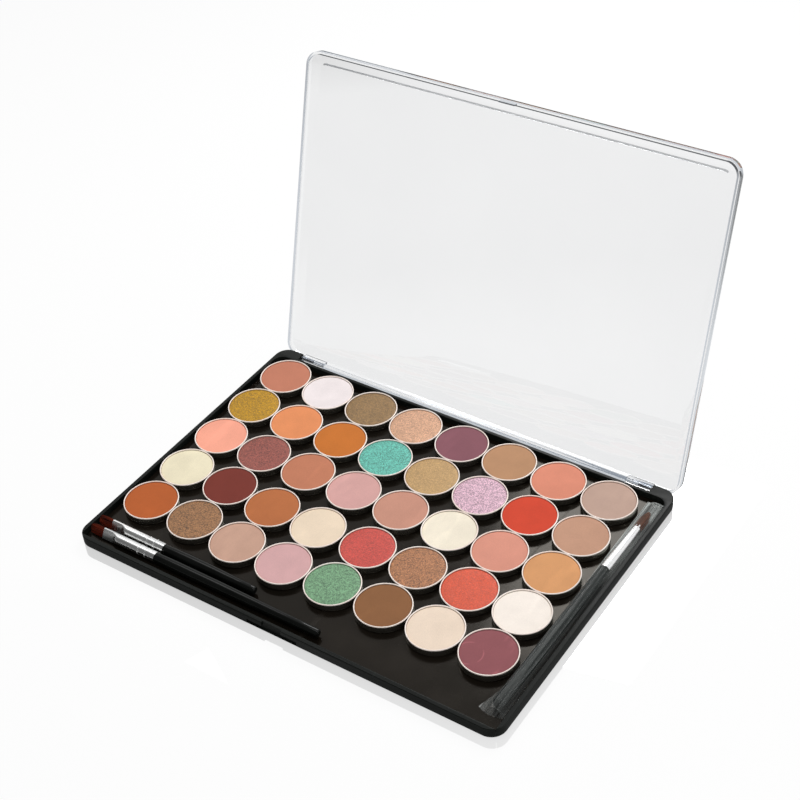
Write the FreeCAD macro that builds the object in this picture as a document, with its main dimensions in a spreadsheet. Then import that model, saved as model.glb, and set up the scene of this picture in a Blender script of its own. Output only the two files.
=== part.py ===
import FreeCAD, Part
import math
import os
import Sketcher

# A hinged palette case for round colour pans: a black tray with a magnetic sheet, a clear lid on two
# steel pins, a grid of lift-out pans with pressed cakes, two loose brushes and one brush in a clear sleeve.
# The origin is the centre of the tray's underside, +X along the rows, +Y towards the hinge, +Z up.

COLUMNS = 8
ROWS = 5

# Sides of the many-sided prisms that stand for round pans and round brushes.
PAN_SIDES = 24
BRUSH_SIDES = 16

# Pans that have slid towards the front, counted from nought: the rows from this one on, these columns,
# and the place along a row where the slide is greatest. Part of the first such row has also moved right.
SLID_FROM_ROW = 3
SLID_COLUMNS = range(2, 6)
SLIDE_PEAK = 2.6
NUDGED_FROM_COLUMN = 4

# How exactly an edge or face is matched to a direction or to a place.
TOUCHING = 1e-4

# Driving sizes in millimetres and degrees.
SIZES = {
    # colour pans and the cakes pressed into them
    "pan_diameter": 25.4,
    "pan_height": 3.9,
    "pan_wall": 0.5,
    "pan_floor": 0.4,
    "cake_clearance": 0.05,
    "cake_recess": 0.5,
    # the grid of pans and the two bays beside it
    "pan_gap_across": 0.28,
    "pan_gap_along": 0.15,
    "pan_side_gap": 1.1,
    "pan_rear_gap": 0.3,
    "side_bay": 9.74,
    "front_bay": 19.2,
    # how far the photographed pans have slid out of line
    "slip_most": 2.2,
    "slip_step": 0.75,
    "nudge_right": 0.55,
    # tray
    "tray_height": 5.1,
    "tray_wall": 2.0,
    "tray_floor": 1.3,
    "corner_radius": 7.0,
    "base_chamfer": 0.5,
    "rim_chamfer": 0.25,
    "block_length": 12.2,
    "block_depth": 6.5,
    "rear_wall": 1.5,
    "thumb_width": 26.0,
    "thumb_height": 2.5,
    "thumb_lift": 0.4,
    "notch_width": 10.0,
    "notch_depth": 1.0,
    # magnetic sheet
    "sheet_thickness": 0.7,
    "sheet_gap": 0.1,
    # hinge
    "hinge_height": 3.05,
    "knuckle_radius": 1.2,
    "knuckle_length": 13.0,
    "knuckle_gap": 0.3,
    "knuckle_root": 0.6,
    "strip_width": 1.1,
    "strip_drop": 0.6,
    "pin_radius": 0.6,
    "pin_fit": 0.05,
    "pin_seat_fit": 0.01,
    "pin_seat": 6.0,
    "pin_reach": 7.0,
    # lid
    "lid_open_angle": 106.45,
    "lid_inset": 0.8,
    "lid_gap": 0.1,
    "lid_skirt": 4.0,
    "lid_crown": 0.8,
    "lid_border": 5.7,
    "lid_wall": 1.2,
    "catch_width": 8.0,
    "catch_thickness": 0.6,
    "catch_length": 2.2,
    "catch_gap": 0.1,
    # loose brushes: each is a flat tuft, a crimped ferrule and a turned handle
    "brush_radius": 2.5,
    "handle_neck": 0.2,
    "handle_end_radius": 1.8,
    "end_bevel": 0.7,
    "belly_from_ferrule": 14.0,
    "tuft_length": 8.0,
    "tuft_width": 4.7,
    "tuft_thickness": 1.8,
    "tuft_tip_radius": 1.4,
    "ferrule_length": 30.5,
    "ferrule_radius": 2.4,
    "mouth_radius": 2.5,
    "mouth_thickness": 2.2,
    "crimp_length": 16.0,
    "short_handle": 50.5,
    "long_handle": 88.5,
    "tip_gap": 0.6,
    "wall_gap": 3.1,
    "brush_side_gap": 0.9,
    "rest_gap": 0.05,
    "brush_roll": 65.0,
    # sleeved brush in the side bay
    "sleeved_radius": 2.65,
    "sleeved_end_radius": 2.45,
    "sleeved_mouth_radius": 2.3,
    "sleeved_tip_radius": 1.5,
    "sleeved_tuft_length": 10.2,
    "tuft_shoulder": 6.0,
    "sleeved_ferrule": 29.8,
    "sleeved_handle": 85.6,
    "sleeved_turn": 0.9,
    "sleeved_offset": 1.2,
    "sleeve_wall": 0.2,
    "sleeve_width": 8.0,
    "sleeve_room": 0.2,
    "sleeve_radius": 2.4,
    "sleeve_wall_gap": 0.8,
    "sleeve_front_gap": 6.8,
    "sleeve_rear_gap": 2.3,
    "sleeve_overhang": 8.6,
}

# Sizes that follow from the driving ones.
DERIVED = {
    "pan_radius": "pan_diameter / 2",
    "pitch_across": "pan_diameter + pan_gap_across",
    "pitch_along": "pan_diameter + pan_gap_along",
    "inner_width": f"pan_side_gap + {COLUMNS} * pan_diameter + {COLUMNS - 1} * pan_gap_across + side_bay",
    "inner_depth": f"front_bay + {ROWS} * pan_diameter + {ROWS - 1} * pan_gap_along + pan_rear_gap",
    "tray_width": "inner_width + 2 * tray_wall",
    "tray_depth": "inner_depth + tray_wall + block_depth",
    "inner_front": "-tray_depth / 2 + tray_wall",
    "inner_middle": "inner_front + inner_depth / 2",
    "inner_radius": "corner_radius - tray_wall",
    "floor_top": "tray_floor + sheet_thickness",
    "first_pan_x": "-inner_width / 2 + pan_side_gap + pan_radius",
    "first_pan_y": "tray_depth / 2 - block_depth - pan_rear_gap - pan_radius",
    "cake_radius": "pan_radius - pan_wall - cake_clearance",
    "cake_height": "pan_height - pan_floor - cake_recess",
    "hinge_y": "tray_depth / 2 - knuckle_radius",
    "hinge_span": "tray_width - 2 * block_length",
    "lid_width": "tray_width - 2 * lid_inset",
    "lid_middle": "knuckle_radius - tray_depth / 2",
    "lid_mouth": "tray_height + lid_gap - hinge_height",
    "strip_length": "hinge_span - 2 * knuckle_gap - 2 * knuckle_length",
    "tip_x": "-inner_width / 2 + tip_gap",
    "long_brush_y": "inner_front + wall_gap + brush_radius",
    "short_brush_y": "long_brush_y + 2 * brush_radius + brush_side_gap",
    "sleeve_height": "2 * sleeved_radius + sleeve_room + 2 * sleeve_wall",
    "sleeve_x": "inner_width / 2 - sleeve_wall_gap - sleeve_width / 2",
    "sleeve_front": "inner_front + sleeve_front_gap",
    "sleeve_length": "inner_depth - sleeve_front_gap - sleeve_rear_gap",
}

doc = FreeCAD.newDocument("palette_case")
sheet = doc.addObject("Spreadsheet::Sheet", "Sizes")


def fill_sheet():
    """Write every size into the sheet under its own alias."""
    rows = list(SIZES.items()) + [(name, "=" + formula) for name, formula in DERIVED.items()]
    for number, (name, value) in enumerate(rows, start=1):
        sheet.set(f"A{number}", name)
        sheet.set(f"B{number}", str(value))
        sheet.setAlias(f"B{number}", name)
    doc.recompute()


def size(name):
    """A size read back from the sheet."""
    return float(getattr(sheet, name))


def bind(feature, **expressions):
    """Tie properties of a feature to the sheet; a double underscore stands for a dot."""
    for name, expression in expressions.items():
        feature.setExpression(name.replace("__", "."), in_sheet(expression))


def in_sheet(expression):
    """The expression with each size's alias written as a reference to the sheet."""
    words = []
    for word in expression.replace("(", "( ").replace(")", " )").split():
        known = word in SIZES or word in DERIVED
        words.append("Sizes." + word if known else word)
    return " ".join(words)


def new_body(name):
    body = doc.addObject("PartDesign::Body", name)
    body.Label = name
    return body


def new_sketch(body, name, role, x="0", y="0", z="0"):
    """A sketch on one of the body's origin planes, moved by expressions in its own axes."""
    sketch = body.newObject("Sketcher::SketchObject", name)
    sketch.AttachmentSupport = [(origin_feature(body, role), "")]
    sketch.MapMode = "FlatFace"
    bind(sketch, AttachmentOffset__Base__x=x, AttachmentOffset__Base__y=y, AttachmentOffset__Base__z=z)
    return sketch


def constrain(sketch, label, expression, *constraint):
    """Add a named dimension and tie it to the sheet."""
    index = sketch.addConstraint(Sketcher.Constraint(*constraint))
    sketch.renameConstraint(index, label)
    bind(sketch, **{"Constraints__" + label: expression})


def add_rectangle(sketch, width, height):
    """A rectangle centred on the sketch's origin."""
    corners = [(-5, -5), (5, -5), (5, 5), (-5, 5)]
    points = [FreeCAD.Vector(x, y, 0) for x, y in corners]
    for index in range(4):
        sketch.addGeometry(Part.LineSegment(points[index], points[(index + 1) % 4]), False)
    for index in range(4):
        sketch.addConstraint(Sketcher.Constraint("Coincident", index, 2, (index + 1) % 4, 1))
    for index, kind in enumerate(("Horizontal", "Vertical", "Horizontal", "Vertical")):
        sketch.addConstraint(Sketcher.Constraint(kind, index))
    sketch.addConstraint(Sketcher.Constraint("Symmetric", 0, 1, 2, 1, -1, 1))
    constrain(sketch, "width", width, "DistanceX", 0, 1, 0, 2, 10.0)
    constrain(sketch, "height", height, "DistanceY", 1, 1, 1, 2, 10.0)


def add_circle(sketch, radius):
    """A circle about the sketch's origin."""
    index = sketch.addGeometry(Part.Circle(FreeCAD.Vector(), FreeCAD.Vector(0, 0, 1), 1.0), False)
    sketch.addConstraint(Sketcher.Constraint("Coincident", index, 3, -1, 1))
    constrain(sketch, "radius", radius, "Radius", index, 1.0)


def add_polygon(sketch, sides, radius):
    """A regular polygon about the sketch's origin, with its corners on a circle."""
    reach = value_of(radius)
    turns = [2 * math.pi * index / sides for index in range(sides)]
    corners = [FreeCAD.Vector(reach * math.cos(turn), reach * math.sin(turn), 0) for turn in turns]
    for index in range(sides):
        sketch.addGeometry(Part.LineSegment(corners[index], corners[(index + 1) % sides]), False)
    ring = sketch.addGeometry(Part.Circle(FreeCAD.Vector(), FreeCAD.Vector(0, 0, 1), reach), True)
    sketch.addConstraint(Sketcher.Constraint("Coincident", ring, 3, -1, 1))
    sketch.addConstraint(Sketcher.Constraint("PointOnObject", 0, 1, -1))
    for index in range(sides):
        sketch.addConstraint(Sketcher.Constraint("Coincident", index, 2, (index + 1) % sides, 1))
        sketch.addConstraint(Sketcher.Constraint("PointOnObject", index, 1, ring))
    for index in range(1, sides):
        sketch.addConstraint(Sketcher.Constraint("Equal", 0, index))
    constrain(sketch, "radius", radius, "Radius", ring, reach)


def add_outline(sketch, points):
    """A closed outline of straight lines through points given as pairs of expressions, none negative."""
    places = [FreeCAD.Vector(value_of(x), value_of(y), 0) for x, y in points]
    count = len(places)
    for index in range(count):
        sketch.addGeometry(Part.LineSegment(places[index], places[(index + 1) % count]), False)
    for index in range(count):
        sketch.addConstraint(Sketcher.Constraint("Coincident", index, 2, (index + 1) % count, 1))
        fix_start(sketch, index, *points[index])


def fix_start(sketch, line, x, y):
    """Hold the start of a line at a place given by two expressions."""
    if x == "0":
        sketch.addConstraint(Sketcher.Constraint("PointOnObject", line, 1, -2))
    else:
        constrain(sketch, f"across_{line}", x, "DistanceX", -1, 1, line, 1, value_of(x))
    if y == "0":
        sketch.addConstraint(Sketcher.Constraint("PointOnObject", line, 1, -1))
    else:
        constrain(sketch, f"along_{line}", y, "DistanceY", -1, 1, line, 1, value_of(y))


def value_of(expression):
    """The number that an expression of sizes has now."""
    return float(sheet.evalExpression(expression))


def pad(body, name, sketch, length, symmetric=False, backward=False):
    feature = body.newObject("PartDesign::Pad", name)
    feature.Profile = sketch
    feature.Reversed = backward
    if symmetric:
        feature.SideType = "Symmetric"
    bind(feature, Length=length)
    doc.recompute()
    return feature


def pocket(body, name, sketch, length, symmetric=False, backward=False):
    """Cut a sketch out of the body, and make sure that it took something away."""
    before = body.Shape.Volume
    feature = body.newObject("PartDesign::Pocket", name)
    feature.Profile = sketch
    feature.Reversed = backward
    if symmetric:
        feature.SideType = "Symmetric"
    bind(feature, Length=length)
    doc.recompute()
    if body.Shape.Volume >= before:
        raise ValueError(f"{name} cuts nothing")
    return feature


def dress(body, kind, name, test, **expressions):
    """A fillet or chamfer along the edges of the body's tip that pass a test."""
    base = body.Tip
    edges = [f"Edge{index}" for index, edge in enumerate(base.Shape.Edges, start=1) if test(edge)]
    feature = body.newObject("PartDesign::" + kind, name)
    feature.Base = (base, edges)
    bind(feature, **expressions)
    doc.recompute()
    return feature


def upright(edge):
    """True for a straight edge along Z."""
    return 1 - abs(edge.tangentAt(edge.FirstParameter).z) < TOUCHING


def lies_at(level):
    """A test for edges that lie flat at a height."""
    def test(edge):
        return abs(edge.BoundBox.ZMin - level) < TOUCHING and abs(edge.BoundBox.ZMax - level) < TOUCHING
    return test


def make_tray():
    """Black tray: rounded plate, pan well, rear hinge blocks with pin seats, thumb recess and notch."""
    tray = new_body("tray")
    outline = new_sketch(tray, "tray_outline", "XY_Plane")
    add_rectangle(outline, "tray_width", "tray_depth")
    pad(tray, "tray_plate", outline, "tray_height")
    dress(tray, "Fillet", "tray_corners", upright, Radius="corner_radius")
    dress(tray, "Chamfer", "tray_base_edge", lies_at(0.0), Size="base_chamfer")
    dress(tray, "Chamfer", "tray_rim_edge", lies_at(size("tray_height")), Size="rim_chamfer")

    well = new_sketch(tray, "well_outline", "XY_Plane", y="inner_middle", z="tray_height")
    add_rectangle(well, "inner_width", "inner_depth")
    pocket(tray, "well", well, "tray_height - tray_floor")
    half_width = size("inner_width") / 2
    half_depth = size("inner_depth") / 2
    middle = size("inner_middle")

    def well_corner(edge):
        centre = edge.BoundBox.Center
        on_side = abs(abs(centre.x) - half_width) < TOUCHING
        return upright(edge) and on_side and abs(abs(centre.y - middle) - half_depth) < TOUCHING

    dress(tray, "Fillet", "well_corners", well_corner, Radius="inner_radius")

    recess = new_sketch(
        tray, "hinge_recess_outline", "XY_Plane",
        y="tray_depth / 2 - ( block_depth - rear_wall ) / 2", z="tray_height")
    add_rectangle(recess, "hinge_span", "block_depth - rear_wall")
    pocket(tray, "hinge_recess", recess, "tray_height")

    relief = new_sketch(tray, "roll_relief_outline", "YZ_Plane", x="hinge_y", y="hinge_height")
    add_spandrel(relief, "tray_height - hinge_height")
    pocket(tray, "roll_relief", relief, "tray_width", symmetric=True)

    seat = new_sketch(tray, "pin_seat_outline", "YZ_Plane", x="hinge_y", y="hinge_height")
    add_circle(seat, "pin_radius + pin_seat_fit")
    pocket(tray, "pin_seats", seat, "hinge_span + 2 * pin_seat", symmetric=True)

    thumb = new_sketch(
        tray, "thumb_outline", "XZ_Plane",
        y="thumb_lift + thumb_height / 2", z="tray_depth / 2")
    add_rectangle(thumb, "thumb_width", "thumb_height")
    pocket(tray, "thumb_recess", thumb, "notch_depth")
    notch = new_sketch(
        tray, "notch_outline", "XZ_Plane",
        y="( thumb_lift + tray_height ) / 2", z="tray_depth / 2")
    add_rectangle(notch, "notch_width", "tray_height - thumb_lift")
    pocket(tray, "catch_notch", notch, "notch_depth")
    return tray


def add_spandrel(sketch, radius):
    """The corner left between a quarter circle about the sketch's origin and its enclosing square.

    Cut from the blocks, it rounds them about the hinge axis, so that the lid's rear edge rolls over them.
    """
    reach = value_of(radius)
    top = FreeCAD.Vector(0, reach, 0)
    side = FreeCAD.Vector(reach, 0, 0)
    corner = FreeCAD.Vector(reach, reach, 0)
    quarter = Part.ArcOfCircle(Part.Circle(FreeCAD.Vector(), FreeCAD.Vector(0, 0, 1), reach), 0, math.pi / 2)
    sketch.addGeometry(quarter, False)
    sketch.addGeometry(Part.LineSegment(side, corner), False)
    sketch.addGeometry(Part.LineSegment(corner, top), False)
    sketch.addConstraint(Sketcher.Constraint("Coincident", 0, 3, -1, 1))
    sketch.addConstraint(Sketcher.Constraint("PointOnObject", 0, 1, -1))
    sketch.addConstraint(Sketcher.Constraint("PointOnObject", 0, 2, -2))
    sketch.addConstraint(Sketcher.Constraint("Coincident", 0, 1, 1, 1))
    sketch.addConstraint(Sketcher.Constraint("Coincident", 1, 2, 2, 1))
    sketch.addConstraint(Sketcher.Constraint("Coincident", 2, 2, 0, 2))
    sketch.addConstraint(Sketcher.Constraint("Vertical", 1))
    sketch.addConstraint(Sketcher.Constraint("Horizontal", 2))
    constrain(sketch, "radius", radius, "Radius", 0, reach)


def make_magnet_sheet():
    """Thin magnetic sheet that lines the floor of the well."""
    lining = new_body("magnet_sheet")
    outline = new_sketch(lining, "sheet_outline", "XY_Plane", y="inner_middle", z="tray_floor")
    add_rectangle(outline, "inner_width - 2 * sheet_gap", "inner_depth - 2 * sheet_gap")
    pad(lining, "sheet_pad", outline, "sheet_thickness")
    dress(lining, "Fillet", "sheet_corners", upright, Radius="inner_radius - sheet_gap")
    return lining


def make_lid():
    """Clear moulded lid, drawn closed about the hinge axis and then turned open."""
    lid = new_body("lid")
    outline = new_sketch(lid, "lid_outline", "XY_Plane", y="lid_middle", z="lid_mouth")
    add_rectangle(outline, "lid_width", "tray_depth")
    pad(lid, "lid_block", outline, "lid_skirt + lid_crown")
    dress(lid, "Fillet", "lid_corners", upright, Radius="corner_radius")
    top = size("lid_mouth") + size("lid_skirt") + size("lid_crown")
    border = dress(lid, "Chamfer", "lid_border_slope", lies_at(top), Size="lid_crown", Size2="lid_border")
    border.ChamferType = "Two distances"
    doc.recompute()
    hollow = lid.newObject("PartDesign::Thickness", "lid_hollow")
    mouth = [
        f"Face{index}" for index, face in enumerate(border.Shape.Faces, start=1)
        if abs(face.BoundBox.ZMax - size("lid_mouth")) < TOUCHING]
    hollow.Base = (border, mouth)
    hollow.Join = "Intersection"
    hollow.Reversed = True
    bind(hollow, Value="lid_wall")
    doc.recompute()

    knuckle = new_sketch(lid, "knuckle_outline", "YZ_Plane", z="hinge_span / 2 - knuckle_gap")
    add_knuckle(knuckle)
    first = pad(lid, "knuckle", knuckle, "knuckle_length", backward=True)
    mirror(lid, "knuckles", first, "YZ_Plane")

    strip = new_sketch(
        lid, "strip_outline", "YZ_Plane",
        x="knuckle_radius - strip_width / 2", y="( lid_mouth + knuckle_root - strip_drop ) / 2")
    add_rectangle(strip, "strip_width", "lid_mouth + knuckle_root + strip_drop")
    pad(lid, "hinge_strip", strip, "strip_length", symmetric=True)

    catch = new_sketch(
        lid, "catch_outline", "XY_Plane",
        y="knuckle_radius - tray_depth + catch_gap + catch_thickness / 2", z="lid_mouth + knuckle_root")
    add_rectangle(catch, "catch_width", "catch_thickness")
    pad(lid, "catch", catch, "catch_length + knuckle_root", backward=True)

    bind(lid, Placement__Base__y="hinge_y", Placement__Base__z="hinge_height")
    lid.Placement.Rotation = FreeCAD.Rotation(FreeCAD.Vector(-1, 0, 0), size("lid_open_angle"))
    bind(lid, Placement__Rotation__Angle="lid_open_angle")
    return lid


def add_knuckle(sketch):
    """A round barrel about the hinge axis, bored for the pin, with a straight neck up into the lid."""
    radius = size("knuckle_radius")
    top = size("lid_mouth") + size("knuckle_root")
    left = FreeCAD.Vector(-radius, 0, 0)
    right = FreeCAD.Vector(radius, 0, 0)
    upper_right = FreeCAD.Vector(radius, top, 0)
    upper_left = FreeCAD.Vector(-radius, top, 0)
    sketch.addGeometry(Part.Arc(left, FreeCAD.Vector(0, -radius, 0), right), False)
    sketch.addGeometry(Part.LineSegment(right, upper_right), False)
    sketch.addGeometry(Part.LineSegment(upper_right, upper_left), False)
    sketch.addGeometry(Part.LineSegment(upper_left, left), False)
    sketch.addConstraint(Sketcher.Constraint("Coincident", 0, 3, -1, 1))
    sketch.addConstraint(Sketcher.Constraint("Tangent", 0, 2, 1, 1))
    sketch.addConstraint(Sketcher.Constraint("Coincident", 1, 2, 2, 1))
    sketch.addConstraint(Sketcher.Constraint("Coincident", 2, 2, 3, 1))
    sketch.addConstraint(Sketcher.Constraint("Tangent", 3, 2, 0, 1))
    sketch.addConstraint(Sketcher.Constraint("Vertical", 1))
    sketch.addConstraint(Sketcher.Constraint("Horizontal", 2))
    sketch.addConstraint(Sketcher.Constraint("Vertical", 3))
    constrain(sketch, "barrel", "knuckle_radius", "Radius", 0, radius)
    constrain(sketch, "neck", "lid_mouth + knuckle_root", "DistanceY", -1, 1, 1, 2, top)
    bore = sketch.addGeometry(Part.Circle(FreeCAD.Vector(), FreeCAD.Vector(0, 0, 1), radius / 2), False)
    sketch.addConstraint(Sketcher.Constraint("Coincident", bore, 3, -1, 1))
    constrain(sketch, "bore", "pin_radius + pin_fit", "Radius", bore, radius / 2)


def make_hinge_pin(name, start):
    """Plain steel pin, seated in a corner block and reaching into the lid's knuckle."""
    pin = doc.addObject("Part::Cylinder", name)
    pin.Label = name
    bind(pin, Radius="pin_radius", Height="pin_seat + pin_reach")
    pin.Placement.Rotation = FreeCAD.Rotation(FreeCAD.Vector(0, 1, 0), 90)
    bind(pin, Placement__Base__x=start, Placement__Base__y="hinge_y", Placement__Base__z="hinge_height")
    return pin


def origin_feature(body, role):
    """One of the body's own origin planes or axes."""
    return [feature for feature in body.Origin.OriginFeatures if feature.Role == role][0]


def make_round(name, stations):
    """A straight-sided body along the local X axis, lofted through rounds at (place, radius) pairs."""
    body = new_body(name)
    rounds = []
    for number, (place, radius) in enumerate(stations, start=1):
        outline = new_sketch(body, f"{name}_round_{number}", "YZ_Plane", z=place)
        add_polygon(outline, BRUSH_SIDES, radius)
        rounds.append(outline)
    skin = body.newObject("PartDesign::AdditiveLoft", name + "_loft")
    skin.Profile = rounds[0]
    skin.Sections = rounds[1:]
    skin.Ruled = True
    doc.recompute()
    return body


def mirror(body, name, feature, role):
    """Repeat a feature on the other side of one of the body's origin planes."""
    pair = body.newObject("PartDesign::Mirrored", name)
    pair.Originals = [feature]
    pair.MirrorPlane = (origin_feature(body, role), [""])
    body.Tip = pair
    doc.recompute()
    return pair


def prism(body, kind, name, radius, bottom, height):
    """Add or take away an upright prism with enough sides to pass for round."""
    feature = body.newObject("PartDesign::" + kind + "Prism", name)
    feature.Polygon = PAN_SIDES
    feature.AttachmentSupport = [(origin_feature(body, "XY_Plane"), "")]
    feature.MapMode = "FlatFace"
    bind(feature, Circumradius=radius, Height=height, AttachmentOffset__Base__z=bottom)
    doc.recompute()


def make_pan_kit():
    """The punched metal pan and the pressed cake, made once and set out many times."""
    cup = new_body("pan_cup")
    prism(cup, "Additive", "cup_outside", "pan_radius", "0", "pan_height")
    prism(cup, "Subtractive", "cup_inside", "pan_radius - pan_wall", "pan_floor", "pan_height")
    cake = new_body("pan_cake")
    prism(cake, "Additive", "cake_block", "cake_radius", "pan_floor", "cake_height")
    return [cup, cake]


def make_pan(kit, row, column):
    """One pan with its cake at its place in the grid."""
    pan = doc.addObject("Part::Compound", f"pan_r{row + 1}_c{column + 1}")
    pan.Label = f"pan_r{row + 1}_c{column + 1}"
    pan.Links = kit
    slid = row >= SLID_FROM_ROW and column in SLID_COLUMNS
    steps = abs(column - SLIDE_PEAK)
    slip = f" - ( slip_most - {steps:.1f} * slip_step )" if slid else ""
    nudged = row == SLID_FROM_ROW and column >= NUDGED_FROM_COLUMN
    nudge = " + nudge_right" if nudged else ""
    bind(
        pan,
        Placement__Base__x=f"first_pan_x + {column} * pitch_across{nudge}",
        Placement__Base__y=f"first_pan_y - {row} * pitch_along{slip}",
        Placement__Base__z="floor_top")
    return pan


def make_handle(name, start, length, belly_radius, end_radius):
    """Handle with a neck at the ferrule, a long belly and a rounded end."""
    end = f"{start} + {length}"
    return make_round(name, [
        (start, f"{belly_radius} - handle_neck"),
        (f"{start} + belly_from_ferrule", belly_radius),
        (f"{end} - end_bevel", end_radius),
        (end, f"{end_radius} - end_bevel"),
    ])


def make_crimped_ferrule(name):
    """Round metal ferrule that widens and is crimped flat towards its mouth."""
    start = "tuft_length"
    crimp_end = "tuft_length + crimp_length"
    ferrule = make_round(name, [
        (start, "mouth_radius"),
        (crimp_end, "ferrule_radius"),
        ("tuft_length + ferrule_length", "ferrule_radius"),
    ])
    side = new_sketch(ferrule, name + "_crimp_outline", "XZ_Plane")
    add_outline(side, [
        (start, "mouth_thickness / 2"),
        (crimp_end, "ferrule_radius"),
        (crimp_end, "mouth_radius"),
        (start, "mouth_radius"),
    ])
    upper = pocket(ferrule, name + "_crimp", side, "4 * mouth_radius", symmetric=True)
    mirror(ferrule, name + "_crimps", upper, "XY_Plane")
    return ferrule


def make_flat_tuft(name):
    """Flat tuft with rounded corners at its tip."""
    tuft = new_body(name)
    outline = new_sketch(tuft, name + "_outline", "XY_Plane", x="tuft_length / 2")
    add_rectangle(outline, "tuft_length", "tuft_width")
    pad(tuft, name + "_pad", outline, "tuft_thickness", symmetric=True)

    def tip_edge(edge):
        return upright(edge) and edge.BoundBox.Center.x < size("tuft_length") / 2

    dress(tuft, "Fillet", name + "_tip", tip_edge, Radius="tuft_tip_radius")
    return tuft


def make_flat_brush(name, handle_length, axis_y):
    """One loose brush, lying along the front bay, rolled on its side with its tip by the left wall."""
    pieces = [
        make_flat_tuft(name + "_tuft"),
        make_crimped_ferrule(name + "_ferrule"),
        make_handle(
            name + "_handle", "tuft_length + ferrule_length", handle_length,
            "brush_radius", "handle_end_radius"),
    ]
    for piece in pieces:
        piece.Placement.Rotation = FreeCAD.Rotation(FreeCAD.Vector(1, 0, 0), size("brush_roll"))
        bind(
            piece, Placement__Base__x="tip_x", Placement__Base__y=axis_y,
            Placement__Base__z="floor_top + rest_gap + brush_radius",
            Placement__Rotation__Angle="brush_roll")
    return pieces


def make_sleeved_brush(name):
    """The thicker brush in the side bay, lying a little askew inside its sleeve."""
    start = "sleeved_tuft_length"
    handle_start = f"{start} + sleeved_ferrule"
    pieces = [
        make_round(name + "_tuft", [
            ("0", "sleeved_tip_radius"),
            ("tuft_shoulder", "sleeved_mouth_radius"),
            (start, "sleeved_mouth_radius"),
        ]),
        make_round(name + "_ferrule", [
            (start, "sleeved_mouth_radius"),
            (handle_start, "sleeved_radius - handle_neck"),
        ]),
        make_handle(name + "_handle", handle_start, "sleeved_handle", "sleeved_radius", "sleeved_end_radius"),
    ]
    for piece in pieces:
        piece.Placement.Rotation = FreeCAD.Rotation(FreeCAD.Vector(0, 0, -1), 90)
        bind(
            piece, Placement__Base__x="sleeve_x + sleeved_offset",
            Placement__Base__y="sleeve_front + sleeve_length - sleeve_overhang",
            Placement__Base__z="floor_top + sleeve_wall + rest_gap + sleeved_radius",
            Placement__Rotation__Angle="90 + sleeved_turn")
    return pieces


def make_sleeve():
    """Clear flat-walled sleeve round the brush in the side bay, open towards the front."""
    sleeve = new_body("brush_sleeve")
    outline = new_sketch(
        sleeve, "sleeve_outline", "XZ_Plane",
        x="sleeve_x", y="floor_top + sleeve_height / 2", z="-1 * sleeve_front")
    add_rectangle(outline, "sleeve_width", "sleeve_height")
    pad(sleeve, "sleeve_block", outline, "sleeve_length", backward=True)

    def lengthwise(edge):
        return 1 - abs(edge.tangentAt(edge.FirstParameter).y) < TOUCHING

    rounded = dress(sleeve, "Fillet", "sleeve_edges", lengthwise, Radius="sleeve_radius")
    front = size("sleeve_front")
    mouth = [
        f"Face{index}" for index, face in enumerate(rounded.Shape.Faces, start=1)
        if abs(face.BoundBox.YMax - front) < TOUCHING]
    hollow = sleeve.newObject("PartDesign::Thickness", "sleeve_hollow")
    hollow.Base = (rounded, mouth)
    hollow.Reversed = True
    bind(hollow, Value="sleeve_wall")
    doc.recompute()
    return sleeve


def export(parts):
    """Check every object and sub-part, then write one file per sub-part."""
    doc.recompute()
    for feature in doc.Objects:
        if "Invalid" in feature.State or "Error" in feature.State:
            raise ValueError(f"{feature.Name} failed: {feature.State}")
    for part in parts:
        if part.Shape.isNull() or not part.Shape.isValid():
            raise ValueError(f"{part.Label} has no valid shape")
    os.makedirs("parts", exist_ok=True)
    for part in parts:
        part.Shape.exportStep(f"parts/{part.Label}.step")


def build():
    fill_sheet()
    pin_start = "hinge_span / 2 - pin_reach"
    parts = [
        make_tray(),
        make_magnet_sheet(),
        make_lid(),
        make_hinge_pin("hinge_pin_right", pin_start),
        make_hinge_pin("hinge_pin_left", f"-1 * ( {pin_start} ) - pin_seat - pin_reach"),
        make_sleeve(),
    ]
    parts += make_flat_brush("short_brush", "short_handle", "short_brush_y")
    parts += make_flat_brush("long_brush", "long_handle", "long_brush_y")
    parts += make_sleeved_brush("sleeved_brush")
    kit = make_pan_kit()
    parts += [make_pan(kit, row, column) for row in range(ROWS) for column in range(COLUMNS)]
    export(parts)


build()
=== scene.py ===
import math
import random

import bmesh
import bpy
from mathutils import Matrix, Vector


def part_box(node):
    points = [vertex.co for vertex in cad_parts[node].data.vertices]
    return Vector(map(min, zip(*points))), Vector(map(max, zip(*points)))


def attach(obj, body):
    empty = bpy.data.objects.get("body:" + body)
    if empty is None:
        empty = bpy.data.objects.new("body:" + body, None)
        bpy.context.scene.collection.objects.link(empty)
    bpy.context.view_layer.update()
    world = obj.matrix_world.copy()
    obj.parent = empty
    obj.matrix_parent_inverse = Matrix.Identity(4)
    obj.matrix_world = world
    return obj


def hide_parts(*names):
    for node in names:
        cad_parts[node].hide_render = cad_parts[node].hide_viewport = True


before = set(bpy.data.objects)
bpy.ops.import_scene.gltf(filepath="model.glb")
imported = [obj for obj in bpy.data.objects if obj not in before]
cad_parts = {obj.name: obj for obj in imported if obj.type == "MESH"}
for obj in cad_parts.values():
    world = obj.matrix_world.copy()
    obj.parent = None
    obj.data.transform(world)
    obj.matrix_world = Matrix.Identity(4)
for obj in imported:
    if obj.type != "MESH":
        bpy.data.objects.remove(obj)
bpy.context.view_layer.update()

# Meshes are drawn in millimetres and brought to metres when a piece is finished. Lengths are in millimetres
# unless a comment says otherwise, and the scales of textures are per metre.
MM = 0.001
ROUND_STEPS = 72
ROD_STEPS = 48
BRISTLE_SEED = 7

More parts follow.
